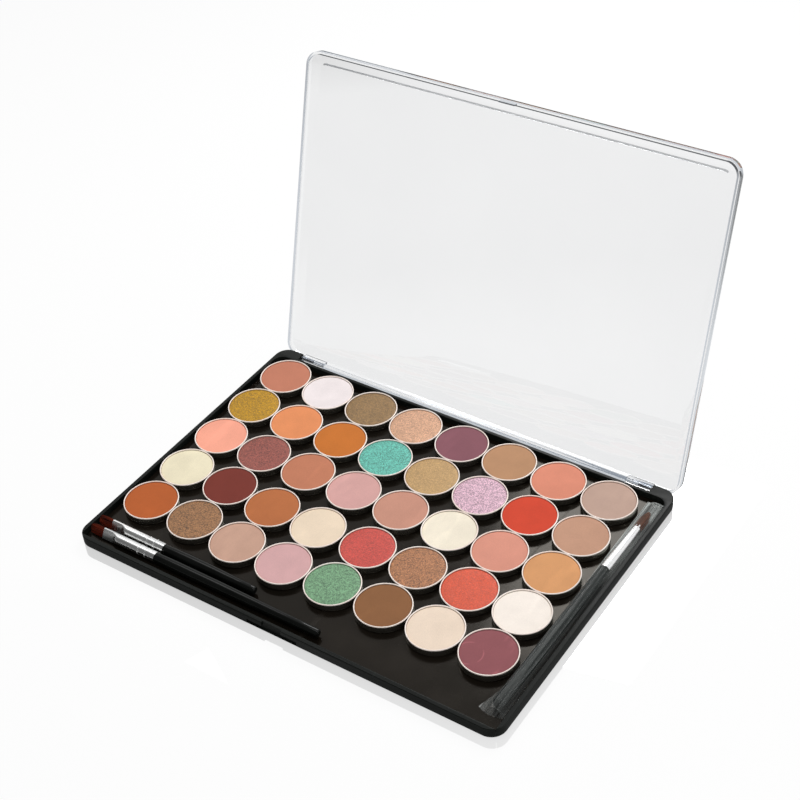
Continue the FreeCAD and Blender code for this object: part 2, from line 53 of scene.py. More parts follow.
# The shade pressed into each pan, row by row from the hinge, left to right.
PAN_SHADES = (
    ("terracotta", "shell_white", "taupe", "champagne", "plum", "tan", "coral", "mushroom"),
    ("mustard", "apricot", "ochre", "turquoise", "old_gold", "lilac", "scarlet", "fawn"),
    ("peach", "mulberry", "clay", "dusty_pink", "brick_rose", "ivory", "rose", "amber"),
    ("cream", "maroon", "rust", "oatmeal", "garnet", "bronze", "poppy", "milk_white"),
    ("burnt_orange", "brown_bronze", "blush_beige", "orchid", "jade", "brown", "vanilla", "aubergine"),
)

# Shades as they look in even light, red, green and blue out of 255.
SHADES = {
    "terracotta": (195, 125, 100),
    "shell_white": (240, 230, 230),
    "taupe": (135, 105, 65),
    "champagne": (200, 155, 125),
    "plum": (135, 85, 95),
    "tan": (185, 140, 105),
    "coral": (220, 140, 115),
    "mushroom": (190, 160, 145),
    "mustard": (175, 130, 5),
    "apricot": (230, 145, 95),
    "ochre": (200, 115, 45),
    "turquoise": (90, 170, 155),
    "old_gold": (180, 145, 95),
    "lilac": (195, 160, 175),
    "scarlet": (210, 70, 45),
    "fawn": (195, 150, 125),
    "peach": (250, 170, 145),
    "mulberry": (140, 75, 65),
    "clay": (195, 125, 95),
    "dusty_pink": (215, 165, 160),
    "brick_rose": (200, 145, 125),
    "ivory": (245, 235, 215),
    "rose": (220, 150, 130),
    "amber": (215, 155, 105),
    "cream": (240, 230, 200),
    "maroon": (120, 50, 40),
    "rust": (185, 110, 65),
    "oatmeal": (240, 220, 195),
    "garnet": (190, 70, 60),
    "bronze": (155, 105, 70),
    "poppy": (205, 80, 50),
    "milk_white": (250, 240, 230),
    "burnt_orange": (185, 95, 45),
    "brown_bronze": (140, 100, 65),
    "blush_beige": (200, 160, 140),
    "orchid": (215, 170, 170),
    "jade": (105, 145, 110),
    "brown": (140, 95, 60),
    "vanilla": (240, 220, 200),
    "aubergine": (145, 85, 90),
}
CLOUDINESS = 0.045

# Shades with flakes in them, and how strongly the flakes' painted glints show.
SHIMMERING = {
    "champagne": 0.65, "mustard": 0.95, "turquoise": 1.1, "old_gold": 0.45, "lilac": 1.1, "mulberry": 1.0,
    "garnet": 0.6, "bronze": 1.2, "poppy": 0.35, "brown_bronze": 1.5, "jade": 1.15, "taupe": 0.7,
}
FLAKE_SCALE = 3000.0

# Cakes that have been touched: how strong the rubbed places are, and an arc left by a nail, in metres.
WEAR = {
    "aubergine": {"Scuff": 0.5, "Mark Middle": (0.079, -0.0483, 0.0054), "Mark Radius": 0.0058},
}
UNTOUCHED = {"Scuff": 0.06}
# Half width of the nail's arc where it is full, and where it ends.
MARK_FULL = 0.1
MARK_END = 0.4

# Pan and cake. A cake rises a little from its edge: distance from the edge, height above its top.
PAN_RADIUS = 12.7
PAN_HEIGHT = 3.9
PAN_LIP = 0.55
PAN_FLOOR = 0.4
FOOT_ROUNDING = 0.6
LIP_OUTER_ROUNDING = 0.3
LIP_INNER_ROUNDING = 0.22
CAKE_GAP = 0.08
CAKE_TOP = 3.42
CAKE_SLUMP = 0.2
CAKE_RISE = ((0.5, 0.0), (3.0, 0.01), (7.0, 0.03))
CAKE_CROWN = 0.04
# Cakes are turned in their pans by so many radians from row to row and from column to column.
ROW_TURN = 0.7
COLUMN_TURN = 1.9
# Heights above the underside of the tray between which the finish of a pan's wall turns into that of its lip;
# the lip's pale tone is partly rubbed wear and partly a painted highlight.
LIP_FROM = 5.36
LIP_FULL = 5.58

# Hairs: how deep they go into the ferrule, how uneven their tips are, where they are thickest as a tuft, and
# how thick a hair still is there and at its tip.
HAIR_RADIUS = 0.17
HAIR_ROOT = 1.5
HAIR_UNEVEN = 0.35
HAIR_BELLY = 0.45
HAIR_AT_BELLY = 0.8
HAIR_AT_TIP = 0.25

# Loose brushes, measured from the tip along the handle. Sections of a tuft, at its root, belly and tip, are
# half sizes across and through. The ferrule narrows in steps over its crimp: by how much, and where.
TUFT_LENGTH = 8.0
TUFT_HAIRS = 320
TUFT_SECTIONS = ((2.25, 0.75), (2.5, 0.92), (2.3, 0.6))
TUFT_ROUNDING = 1.1
MOUTH_RADIUS = 2.5
MOUTH_HALF_THICKNESS = 0.95
MOUTH_RIM = 0.8
CRIMP_FLAT = 13.6
CRIMP_STEPS = ((0.02, 14.4), (0.04, 15.2), (0.06, 16.1))
CRIMP_END = 17.0
FERRULE_RADIUS = 2.4
FERRULE_END = 38.5
FERRULE_EASING = 0.9
DASH_ROWS = (29.4, 33.4)
DASH_HALF_WIDTH = 0.4
DASH_INSET = 0.06
DASH_DEPTH = 0.1
BRUSH_ROLL = math.radians(57.0)
HANDLE_NECK = 2.3
HANDLE_END_RADIUS = 1.8
BELLY_RADIUS = 2.5
BELLY_AT = 14.0

# Sleeved brush, measured the same way; the ferrule's stations are radius and distance.
SLEEVED_TUFT = 10.2
SLEEVED_HAIRS = 230
SLEEVED_ROUNDING = 1.6
SLEEVED_MOUTH = 2.3
SLEEVED_TIP = 1.5
SLEEVED_SECTIONS = [(half, half) for half in (SLEEVED_MOUTH - 0.3, SLEEVED_MOUTH - 0.2, SLEEVED_TIP - 0.3)]
SLEEVED_RADIUS = 2.65
SLEEVED_NECK = SLEEVED_RADIUS - 0.2
SLEEVED_END_RADIUS = 2.45
SLEEVED_FERRULE_END = 40.0
SLEEVED_FERRULE = [
    (SLEEVED_MOUTH - 0.5, SLEEVED_TUFT), (SLEEVED_MOUTH - 0.4, SLEEVED_TUFT + 0.3),
    (SLEEVED_MOUTH - 0.2, 20.0), (SLEEVED_MOUTH + 0.08, 34.0),
    (SLEEVED_NECK, 37.2), (SLEEVED_NECK, SLEEVED_FERRULE_END)]
SLEEVED_TURN = math.radians(0.9)

# Film of the brush sleeve: heights are above the sheet it lies on; where its spread ends and its seal begins,
# and the seal itself, are shares of its length from the open end.
FILM_POINTS = 64
FILM_STATIONS = 46
FILM_THICKNESS = 0.06
FILM_UNDERSIDE = 0.02
FILM_EDGE = 0.3
FILM_AXIS = 2.9
FILM_RADIUS = 2.82
FILM_STEEPEST = math.radians(84.0)
FILM_CURL = 1.6
FILM_CRINKLE = 0.02
FILM_LANDING = 3.9
FILM_SPREAD = 4.2
FILM_SPREAD_END = 0.16
FILM_SEAL_FROM = 0.95
FILM_SEAL = 0.05
# Where the film lies beside the ferrule and tuft and gets a streaky painted reflection: distances from its
# closed end, and heights above the underside of the tray.
REFLECTION_FROM = 58.0
REFLECTION_FULL = 34.0
REFLECTION_LOW = 3.5
REFLECTION_HIGH = 6.5

# Hinge axis and opening of the lid in the photographed pose.
HINGE_PLACE = Vector((0.0, 76.6, 3.05))
LID_OPEN = math.radians(106.45)

# Plan of the tray and of the closed lid, the bead that paints a shade line along its raised middle, and how
# far edges are rounded.
TRAY_WIDTH = 220.0
LID_WIDTH = 218.4
LID_DEPTH = 155.6
LID_BORDER = 5.7
LID_TOP = 10.0
BEAD_WIDTH = 0.9
BEAD_HEIGHT = 0.2
BEAD_CORNER = 2.5
BEAD_ROUNDING = 0.4 * BEAD_HEIGHT
TRAY_ROUNDING = 0.16
LID_ROUNDING = 0.22
FLAT_WITHIN = math.radians(1.0)
SHARP_FROM = math.radians(28.0)

# The photographing camera, in metres; its lens and sensor in millimetres.
CAMERA_PLACE = Vector((0.3241, -0.4048, 0.4975))
CAMERA_RIGHT = Vector((0.82909, 0.55501, -0.0677))
CAMERA_AHEAD = Vector((-0.46411, 0.61563, -0.63687))
CAMERA_LENS = 72.13
CAMERA_SENSOR = 36.0
CAMERA_NEAR = 0.01

# Soft boxes: place, point aimed at and sides in metres, power in watts.
SOFT_BOXES = (
    ("overhead", (0.08, -0.09, 0.75), (0.0, 0.0, 0.0), (0.32, 0.32), 1.33),
    ("behind", (-0.1, 0.5, 0.49), (0.0, 0.0, 0.0), (0.25, 0.25), 1.85),
    ("left", (-0.45, 0.17, 0.69), (0.0, 0.0, 0.0), (0.24, 0.15), 0.34),
    ("right", (0.7, 0.02, 0.26), (0.05, 0.0, 0.0), (0.34, 0.34), 0.8),
)
FILL_LIGHT = 0.44

# The least brightness of the surroundings as seen through clear pieces, where 1 is white.
SEEN_THROUGH_CLEAR = 0.62
# Brightness of the backdrop where pieces mirror it: at the front, at the back, and between which directions.
BACKDROP = (0.17, 1.0, -0.2, 0.25)

# The table, in metres.
TABLE_HALF = 2.0
TABLE_DROP = 0.0008
TABLE_WHITE_SHARE = 0.88
# What changes over the table: the value near by, the value far off, and the distances between, in metres.
# The first two are measured from the middle of the case, the others from its sides.
# Painted shade: as mirrored and as seen through clear pieces the table dims far off, and as mirrored it is
# darker beside the case.
MIRRORED_WHITE = (1.0, 0.12, 0.28, 0.62)
WHITE_THROUGH_CLEAR = (1.0, SEEN_THROUGH_CLEAR, 0.4, 0.54)
PAINTED_SHADE_BESIDE_CASE = (0.25, 1.0, 0.004, 0.012)
POLISH_BESIDE_CASE = (0.31, 0.0, 0.011, 0.03)
# The polish shows only where the table is seen at a slant.
POLISH_AT_SLANT = (0.0, 1.0, 0.1, 0.3)

WHITE = (1.0, 1.0, 1.0, 1.0)
PAPER_WHITE = (0.95, 0.95, 0.95, 1.0)
CLEAR = (0.99, 0.99, 0.99, 1.0)
# Rays that have bounced more often than this count as trapped in a clear piece.
TRAPPED_AFTER = 5.5

# Sockets of a colour mix node, which have no names of their own.
MIX_FIRST = 6
MIX_SECOND = 7
MIX_RESULT = 2


# Shading

def linear(shade):
    """A shade out of 255 as linear light with full alpha."""
    parts = [value / 255 for value in shade]
    return [part / 12.92 if part <= 0.04045 else ((part + 0.055) / 1.055) ** 2.4 for part in parts] + [1.0]


def feed(tree, socket, value):
    """Link an output to a socket, or set the socket to a constant."""
    if isinstance(value, bpy.types.NodeSocket):
        tree.links.new(value, socket)
    else:
        socket.default_value = value


def node(tree, kind, **sockets):
    """A node with its inputs given as values or as outputs of other nodes."""
    made = tree.nodes.new("ShaderNode" + kind)
    for name, value in sockets.items():
        feed(tree, made.inputs[name.replace("_", " ")], value)
    return made


def wire(tree, sockets, **outputs):
    """Link outputs that change over the surface to the sockets of their names."""
    for name, output in outputs.items():
        tree.links.new(output, sockets[name.replace("_", " ")])


def maths(tree, operation, first, second=0.0):
    """A value worked out from one or two values."""
    made = tree.nodes.new("ShaderNodeMath")
    made.operation = operation
    feed(tree, made.inputs[0], first)
    feed(tree, made.inputs[1], second)
    return made.outputs[0]


def vector_maths(tree, operation, *vectors):
    """A value worked out from one or two vectors."""
    made = tree.nodes.new("ShaderNodeVectorMath")
    made.operation = operation
    for socket, vector in zip(made.inputs, vectors):
        tree.links.new(vector, socket)
    return made.outputs["Value"]


def spread(tree, value, low, high, from_low=0.0, from_high=1.0):
    """A value stretched from one range to another, held at its ends."""
    made = node(
        tree, "MapRange", Value=value, From_Min=from_low, From_Max=from_high, To_Min=low, To_Max=high)
    return made.outputs["Result"]


def object_place(tree):
    """The place on the object, in its own coordinates."""
    return node(tree, "TexCoord").outputs["Object"]


def object_axes(tree):
    """The same place as X, Y and Z."""
    return node(tree, "SeparateXYZ", Vector=object_place(tree)).outputs


def noise(tree, scale, detail=2.0, stretch=None):
    """Noise on the object's own coordinates, stretched if wanted."""
    place = object_place(tree)
    if stretch is not None:
        place = node(tree, "Mapping", Vector=place, Scale=stretch).outputs["Vector"]
    return node(tree, "TexNoise", Vector=place, Scale=scale, Detail=detail).outputs["Fac"]


def tinted(tree, colour, brightness):
    """A colour made lighter or darker by a factor."""
    return node(tree, "HueSaturation", Color=colour, Value=brightness).outputs["Color"]


def two_tone(tree, factor, dark, light):
    """A colour that runs between two tones."""
    made = tree.nodes.new("ShaderNodeMix")
    made.data_type = "RGBA"
    tree.links.new(factor, made.inputs["Factor"])
    feed(tree, made.inputs[MIX_FIRST], dark)
    feed(tree, made.inputs[MIX_SECOND], light)
    return made.outputs[MIX_RESULT]


def bumped(tree, height, depth, strength):
    """A normal from a height that changes over the surface; depth in millimetres."""
    return node(tree, "Bump", Strength=strength, Distance=depth * MM, Height=height).outputs["Normal"]


def join_shaders(tree, share, first, second):
    """Two shaders mixed by a share of the second."""
    made = tree.nodes.new("ShaderNodeMixShader")
    feed(tree, made.inputs[0], share)
    tree.links.new(first.outputs[0], made.inputs[1])
    tree.links.new(second.outputs[0], made.inputs[2])
    return made


def seen_rays(tree, rays):
    """1 for camera rays and for mirrored or passed rays, which show a thing; 0 for rays that gather light."""
    indirect = maths(tree, "MAXIMUM", rays["Is Glossy Ray"], rays["Is Transmission Ray"])
    return maths(tree, "MAXIMUM", rays["Is Camera Ray"], indirect)


def new_group(name, inputs, outputs):
    """An empty shader node group with named sockets; each input has a starting value."""
    group = bpy.data.node_groups.new(name, "ShaderNodeTree")
    for label, kind, value in inputs:
        socket = group.interface.new_socket(name=label, in_out="INPUT", socket_type="NodeSocket" + kind)
        socket.default_value = value
    for label, kind in outputs:
        group.interface.new_socket(name=label, in_out="OUTPUT", socket_type="NodeSocket" + kind)
    entry = group.nodes.new("NodeGroupInput")
    leave = group.nodes.new("NodeGroupOutput")
    return group, entry.outputs, leave.inputs


def make_powder_group():
    """Pressed matte powder: cloudy shade, fine grain, rubbed streaks and the arc left by a nail."""
    group, given, out = new_group(
        "pressed_powder",
        [("Shade", "Color", (0.5, 0.5, 0.5, 1.0)), ("Cloud", "Float", 0.06), ("Scuff", "Float", 0.0),
         ("Mark Middle", "Vector", (0.0, 0.0, 0.0)), ("Mark Radius", "Float", -1.0)],
        [("Color", "Color"), ("Roughness", "Float"), ("Height", "Float")])
    cloud = spread(group, noise(group, 110.0, 4.0), -1.0, 1.0, 0.3, 0.7)
    cloudy = maths(group, "MULTIPLY", cloud, given["Cloud"])
    grain = noise(group, 5200.0)
    grainy = spread(group, grain, -0.11, 0.11, 0.25, 0.75)

    streak = noise(group, 95.0, 3.0, stretch=(1.0, 0.25, 1.0))
    rubbed = spread(group, streak, 0.0, 1.0, 0.6, 0.68)
    reach = vector_maths(group, "DISTANCE", object_place(group), given["Mark Middle"])
    off_line = maths(group, "ABSOLUTE", maths(group, "SUBTRACT", reach, given["Mark Radius"]))
    line = spread(group, off_line, 1.0, 0.0, MARK_FULL * MM, MARK_END * MM)
    patchy = spread(group, noise(group, 240.0), 0.0, 1.0, 0.42, 0.56)
    mark = maths(group, "MULTIPLY", line, patchy)
    scuff = maths(group, "MULTIPLY", maths(group, "MAXIMUM", rubbed, mark), given["Scuff"])

    uneven = maths(group, "ADD", cloudy, grainy)
    brightness = maths(group, "ADD", uneven, maths(group, "ADD", scuff, 1.0))
    soft = maths(group, "MULTIPLY", noise(group, 420.0), 0.6)
    wire(
        group, out, Color=tinted(group, given["Shade"], brightness),
        Roughness=spread(group, grain, 0.62, 0.86), Height=maths(group, "ADD", grain, soft))
    return group


def make_shimmer_group():
    """Pressed shimmer: flakes in a coloured binder, painted a little lighter or darker as glints, some pale
    as painted sparkles.
    """
    group, given, out = new_group(
        "shimmer_flakes",
        [("Shade", "Color", (0.5, 0.5, 0.5, 1.0)), ("Flake Scale", "Float", 2400.0),
         ("Sparkle", "Float", 0.5)],
        [("Color", "Color"), ("Metallic", "Float"), ("Roughness", "Float"), ("Height", "Float")])
    flakes = node(group, "TexVoronoi", Vector=object_place(group), Scale=given["Flake Scale"])
    chance = node(group, "SeparateColor", Color=flakes.outputs["Color"]).outputs
    facing = chance["Red"]
    # Painted glints: each flake is made lighter or darker at random as if it faced the light, and some are
    # painted pale as sparkles.
    lit = spread(group, chance["Green"], 0.0, 1.0, 0.74, 0.95)
    painted_glint = maths(group, "MULTIPLY", lit, given["Sparkle"])
    cloud = spread(group, noise(group, 130.0, 3.0), 0.88, 1.0, 0.3, 0.7)
    painted_flake_shading = maths(group, "MULTIPLY", spread(group, facing, -0.5, 0.46), given["Sparkle"])
    flaky = tinted(group, given["Shade"], maths(group, "ADD", cloud, painted_flake_shading))
    pale = tinted(group, given["Shade"], 1.6)
    wire(
        group, out, Color=two_tone(group, painted_glint, flaky, pale), Metallic=spread(group, facing, 0.0, 0.26),
        Roughness=spread(group, chance["Blue"], 0.42, 0.68), Height=facing)
    return group


def make_handling_group():
    """What handling and moulding leave on a smooth surface: fine grain, smears and hairline scratches."""
    group, given, out = new_group(
        "handling_marks",
        [("Grain Scale", "Float", 3000.0), ("Smear Scale", "Float", 30.0), ("Scratch Scale", "Float", 220.0)],
        [("Grain", "Float"), ("Smear", "Float"), ("Scratch", "Float")])
    smear = noise(group, given["Smear Scale"], 4.0)
    hair = noise(group, given["Scratch Scale"], stretch=(1.0, 0.03, 1.0))
    wire(
        group, out, Grain=noise(group, given["Grain Scale"]),
        Smear=spread(group, smear, 0.0, 1.0, 0.32, 0.68), Scratch=spread(group, hair, 0.0, 1.0, 0.69, 0.74))
    return group


POWDER = make_powder_group()
SHIMMER = make_shimmer_group()
HANDLING = make_handling_group()


def place_group(tree, group, **values):
    """A group placed in a material with this material's own values."""
    made = tree.nodes.new("ShaderNodeGroup")
    made.node_tree = group
    for label, value in values.items():
        made.inputs[label.replace("_", " ")].default_value = value
    return made.outputs


def empty_material(name):
    """A material without a shader, its node tree and the socket that its shader goes to."""
    material = bpy.data.materials.new(name)
    material.use_nodes = True
    tree = material.node_tree
    tree.nodes.clear()
    return material, tree, tree.nodes.new("ShaderNodeOutputMaterial").inputs["Surface"]


def new_material(name, **constants):
    """A material with one surface shader whose even properties are set on its own sockets."""
    material, tree, end = empty_material(name)
    surface = node(tree, "BsdfPrincipled", **constants)
    tree.links.new(surface.outputs["BSDF"], end)
    return material, tree, surface.inputs


def handled_material(name, grain, smear, scratch, **constants):
    """A new material with the marks of handling at its own scales."""
    material, tree, surface = new_material(name, **constants)
    marks = place_group(tree, HANDLING, Grain_Scale=grain, Smear_Scale=smear, Scratch_Scale=scratch)
    return material, tree, surface, marks


def matte_cake(shade):
    """Matte powder of one shade."""
    material, tree, surface = new_material("cake_" + shade, Specular_IOR_Level=0.25)
    marks = place_group(
        tree, POWDER, Shade=linear(SHADES[shade]), Cloud=CLOUDINESS, **WEAR.get(shade, UNTOUCHED))
    wire(
        tree, surface, Base_Color=marks["Color"], Roughness=marks["Roughness"],
        Normal=bumped(tree, marks["Height"], 0.05, 0.6))
    return material


def shimmer_cake(shade):
    """Powder of one shade with flakes in it."""
    material, tree, surface = new_material("cake_" + shade)
    flakes = place_group(
        tree, SHIMMER, Shade=linear(SHADES[shade]), Flake_Scale=FLAKE_SCALE, Sparkle=SHIMMERING[shade])
    wire(
        tree, surface, Base_Color=flakes["Color"], Metallic=flakes["Metallic"], Roughness=flakes["Roughness"],
        Normal=bumped(tree, flakes["Height"], 0.06, 0.5))
    return material


def tinplate():
    """Tinned steel of the pans: polished on the drawn wall, satin and pale along the lip, partly rubbed wear
    and partly a painted highlight.
    """
    material, tree, surface, marks = handled_material("tinplate", grain=1800.0, smear=90.0, scratch=400.0)
    lip = spread(tree, object_axes(tree)["Z"], 0.0, 1.0, LIP_FROM * MM, LIP_FULL * MM)
    wall = two_tone(tree, marks["Smear"], (0.42, 0.405, 0.36, 1.0), (0.6, 0.58, 0.52, 1.0))
    # The lip's pale, hardly metallic tone is partly rubbed wear and partly a painted highlight.
    rubbed = two_tone(tree, marks["Smear"], (0.98, 0.83, 0.75, 1.0), (1.0, 0.92, 0.86, 1.0))
    polish = spread(tree, lip, 0.16, 0.34)
    wire(
        tree, surface, Base_Color=two_tone(tree, lip, wall, rubbed), Metallic=spread(tree, lip, 0.97, 0.06),
        Roughness=maths(tree, "ADD", polish, spread(tree, marks["Grain"], 0.0, 0.1)),
        Normal=bumped(tree, marks["Grain"], 0.01, 0.12))
    return material


def black_moulding():
    """Black moulded plastic of the tray, a little paler along its scratches."""
    material, tree, surface, marks = handled_material(
        "black_moulding", grain=4200.0, smear=24.0, scratch=160.0, IOR=1.21)
    tone = two_tone(tree, marks["Smear"], (0.0035, 0.0045, 0.0038, 1.0), (0.007, 0.0085, 0.0074, 1.0))
    wire(
        tree, surface, Base_Color=tinted(tree, tone, spread(tree, marks["Scratch"], 1.0, 1.8)),
        Roughness=spread(tree, marks["Smear"], 0.3, 0.44), Normal=bumped(tree, marks["Grain"], 0.02, 0.35))
    return material


def magnet_rubber():
    """Glossy brown-black magnetic sheet."""
    material, tree, surface, marks = handled_material(
        "magnet_rubber", grain=2600.0, smear=40.0, scratch=120.0, IOR=1.26,
        Specular_Tint=(1.0, 0.92, 0.8, 1.0))
    tone = two_tone(tree, marks["Smear"], (0.0045, 0.0033, 0.0022, 1.0), (0.009, 0.0066, 0.0048, 1.0))
    gloss = spread(tree, marks["Smear"], 0.1, 0.2)
    wire(
        tree, surface, Base_Color=tone,
        Roughness=maths(tree, "ADD", gloss, spread(tree, marks["Scratch"], 0.0, 0.15)),
        Normal=bumped(tree, marks["Grain"], 0.01, 0.25))
    return material


def let_light_through(material, edge_shade=CLEAR):
    """Rays that light or mirror pass a clear piece straight; light trapped in it leaves at its edges, dimmed
    by a tint that paints shade there.
    """
    tree = material.node_tree
    output = next(found for found in tree.nodes if found.type == "OUTPUT_MATERIAL")
    end = output.inputs["Surface"]
    surface = end.links[0].from_node
    rays = tree.nodes.new("ShaderNodeLightPath").outputs
    outside = maths(tree, "LESS_THAN", rays["Transmission Depth"], 0.5)
    bounced = maths(tree, "GREATER_THAN", rays["Is Glossy Ray"], rays["Is Transmission Ray"])
    mirrored = maths(tree, "MULTIPLY", bounced, outside)
    lighting = maths(tree, "MAXIMUM", rays["Is Shadow Ray"], rays["Is Diffuse Ray"])
    passing = maths(tree, "MAXIMUM", mirrored, lighting)
    inside = maths(tree, "GREATER_THAN", bounced, outside)
    trapped = maths(tree, "MAXIMUM", inside, maths(tree, "GREATER_THAN", rays["Ray Depth"], TRAPPED_AFTER))
    # Painted shade: light trapped in the clear piece leaves through this tint, which greys its edges.
    leaving = node(tree, "BsdfTransparent", Color=edge_shade)
    straight = node(tree, "BsdfTransparent", Color=CLEAR)
    body = join_shaders(tree, trapped, surface, leaving)
    tree.links.new(join_shaders(tree, passing, body, straight).outputs[0], end)


def clear_moulding():
    """Clear plastic of the lid, with the slight waviness and smears of a moulding."""
    material, tree, surface, marks = handled_material(
        "clear_moulding", grain=900.0, smear=14.0, scratch=60.0, Transmission_Weight=1.0, IOR=1.5)
    wire(
        tree, surface,
        Base_Color=two_tone(tree, marks["Smear"], (0.892, 0.895, 0.9, 1.0), (0.912, 0.915, 0.918, 1.0)),
        Roughness=spread(tree, marks["Scratch"], 0.0, 0.02),
        Normal=bumped(tree, noise(tree, 18.0, 1.0), 0.2, 0.012))
    # This grey tint paints shade along the lid's edges.
    let_light_through(material, edge_shade=(0.62, 0.65, 0.69, 1.0))
    return material


def painted_shade_bead():
    """Frosted grey plastic of the bead on the lid; its grey paints the dark line where the raised middle
    steps up.
    """
    material, tree, surface, marks = handled_material(
        "painted_shade_bead", grain=3600.0, smear=50.0, scratch=60.0, Transmission_Weight=1.0, IOR=1.45)
    wire(
        tree, surface,
        Base_Color=two_tone(tree, marks["Smear"], (0.5, 0.51, 0.52, 1.0), (0.62, 0.63, 0.64, 1.0)),
        Roughness=spread(tree, marks["Grain"], 0.2, 0.4))
    let_light_through(material)
    return material


def sleeve_film():
    """Thin clear film of the sleeve: a faint streaked veil, partly haze and partly painted sheen, with
    painted highlights along its folds and a streaky painted reflection where it lies beside the ferrule and
    tuft.
    """
    material, tree, surface, marks = handled_material(
        "sleeve_film", grain=900.0, smear=60.0, scratch=240.0, Specular_IOR_Level=0.1)
    crease = noise(tree, 1300.0, 3.0, stretch=(1.0, 0.012, 1.0))
    highlight_streaks = noise(tree, 620.0, 1.0, stretch=(1.0, 0.016, 1.0))
    spot = object_axes(tree)
    # Painted reflection: the veil thickens in streaks where the film lies low beside the ferrule and tuft,
    # near its closed end.
    closed_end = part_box("brush_sleeve")[1].y
    near_end = spread(tree, spot["Y"], 0.0, 1.0, closed_end - REFLECTION_FROM * MM, closed_end - REFLECTION_FULL * MM)
    lying = spread(tree, spot["Z"], 1.0, 0.0, REFLECTION_LOW * MM, REFLECTION_HIGH * MM)
    reflection_area = maths(tree, "MULTIPLY", near_end, lying)
    painted_reflection = maths(tree, "MULTIPLY", reflection_area, spread(tree, crease, 0.03, 0.36, 0.36, 0.62))
    # The veil is partly the film's haze and partly painted sheen.
    veil = maths(tree, "ADD", painted_reflection, spread(tree, crease, 0.008, 0.05, 0.4, 0.64))
    # The bright streaks added to the alpha are painted highlights along the folds.
    wire(
        tree, surface,
        Base_Color=two_tone(tree, marks["Smear"], (0.66, 0.7, 0.68, 1.0), (0.82, 0.85, 0.83, 1.0)),
        Roughness=spread(tree, crease, 0.5, 0.7),
        Alpha=maths(tree, "ADD", veil, spread(tree, highlight_streaks, 0.0, 0.16, 0.64, 0.76)),
        Normal=bumped(tree, crease, 0.1, 0.2))
    return material


def bristle(name, root, tip, along):
    """Brush hair in two tones, streaked along its length."""
    material, tree, surface = new_material(name, Specular_IOR_Level=0.06)
    streak = noise(tree, 900.0, stretch=along)
    wire(
        tree, surface, Base_Color=two_tone(tree, spread(tree, streak, 0.0, 1.0, 0.3, 0.7), root, tip),
        Roughness=spread(tree, streak, 0.35, 0.6), Normal=bumped(tree, streak, 0.08, 0.6))
    return material


def ferrule_metal(name, dull, bright, along):
    """Drawn and polished metal of a ferrule, with fine lines from the drawing."""
    material, tree, surface = new_material(name, Metallic=1.0)
    drawn = noise(tree, 700.0, stretch=along)
    wire(
        tree, surface, Base_Color=two_tone(tree, spread(tree, drawn, 0.0, 1.0, 0.3, 0.7), dull, bright),
        Roughness=spread(tree, drawn, 0.2, 0.28), Normal=bumped(tree, drawn, 0.02, 0.3))
    return material


def lacquer(name, dark, light, roughness):
    """Painted wood: an even coat with a trace of the grain and rubbed places."""
    material, tree, surface, marks = handled_material(name, grain=900.0, smear=70.0, scratch=260.0, IOR=1.24)
    wire(
        tree, surface, Base_Color=two_tone(tree, marks["Smear"], dark, light),
        Roughness=spread(tree, marks["Smear"], roughness, roughness + 0.06),
        Normal=bumped(tree, marks["Grain"], 0.02, 0.3))
    return material


def pin_steel():
    """Plain steel wire of the hinge pins."""
    material, tree, surface, marks = handled_material(
        "pin_steel", grain=2600.0, smear=300.0, scratch=500.0, Metallic=1.0)
    wire(
        tree, surface,
        Base_Color=two_tone(tree, marks["Smear"], (0.42, 0.42, 0.43, 1.0), (0.6, 0.6, 0.6, 1.0)),
        Roughness=spread(tree, marks["Grain"], 0.25, 0.45))
    return material


# Modelling

def lathe(profile, steps=ROUND_STEPS):
    """A turned form about Z through (radius, height) pairs that start and end on the axis."""
    form = bmesh.new()
    points = [form.verts.new((radius, 0.0, height)) for radius, height in profile]
    lines = [form.edges.new(pair) for pair in zip(points, points[1:])]
    bmesh.ops.spin(
        form, geom=points + lines, axis=(0, 0, 1), cent=(0, 0, 0), angle=math.tau, steps=steps,
        use_merge=True)
    bmesh.ops.remove_doubles(form, verts=form.verts, dist=1e-4)
    bmesh.ops.recalc_face_normals(form, faces=form.faces)
    return form


def turned_rod(stations):
    """A turned rod along Z through (radius, distance) stations, closed at both ends."""
    return lathe([(0.0, stations[0][1])] + stations + [(0.0, stations[-1][1])], steps=ROD_STEPS)


def ring_edges(form, radius, height):
    """The ring of edges that lies at a radius and height on a turned form."""
    def on_ring(point):
        return abs(point.co.xy.length - radius) < 1e-3 and abs(point.co.z - height) < 1e-3
    return [edge for edge in form.edges if on_ring(edge.verts[0]) and on_ring(edge.verts[1])]


def soften(form, edges, width, segments):
    """Round edges off."""
    bmesh.ops.bevel(
        form, geom=edges, offset=width, offset_type="OFFSET", segments=segments, profile=0.5,
        affect="EDGES", material=-1, clamp_overlap=True)


def unique(items):
    """The items once each, in their order."""
    return list(dict.fromkeys(items))


def move(form, matrix):
    """Take a whole form to another place or turn."""
    bmesh.ops.transform(form, matrix=matrix, verts=form.verts)


def add_object(name, form, material):
    """Make a form an object of the scene with one material."""
    mesh = bpy.data.meshes.new(name)
    form.to_mesh(mesh)
    form.free()
    mesh.materials.append(material)
    made = bpy.data.objects.new(name, mesh)
    bpy.context.scene.collection.objects.link(made)
    return made


def finish_piece(name, form, material, body, nodes=(), sharp=35.0):
    """Bring a form to metres and make it a piece that rides on a body and stands for its nodes."""
    bmesh.ops.scale(form, vec=(MM, MM, MM), verts=form.verts)
    for face in form.faces:
        face.smooth = True
    limit = math.radians(sharp)
    for edge in form.edges:
        edge.smooth = len(edge.link_faces) == 2 and edge.calc_face_angle() < limit
    piece = add_object(name, form, material)
    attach(piece, body)
    if nodes:
        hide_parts(*nodes)
    return piece


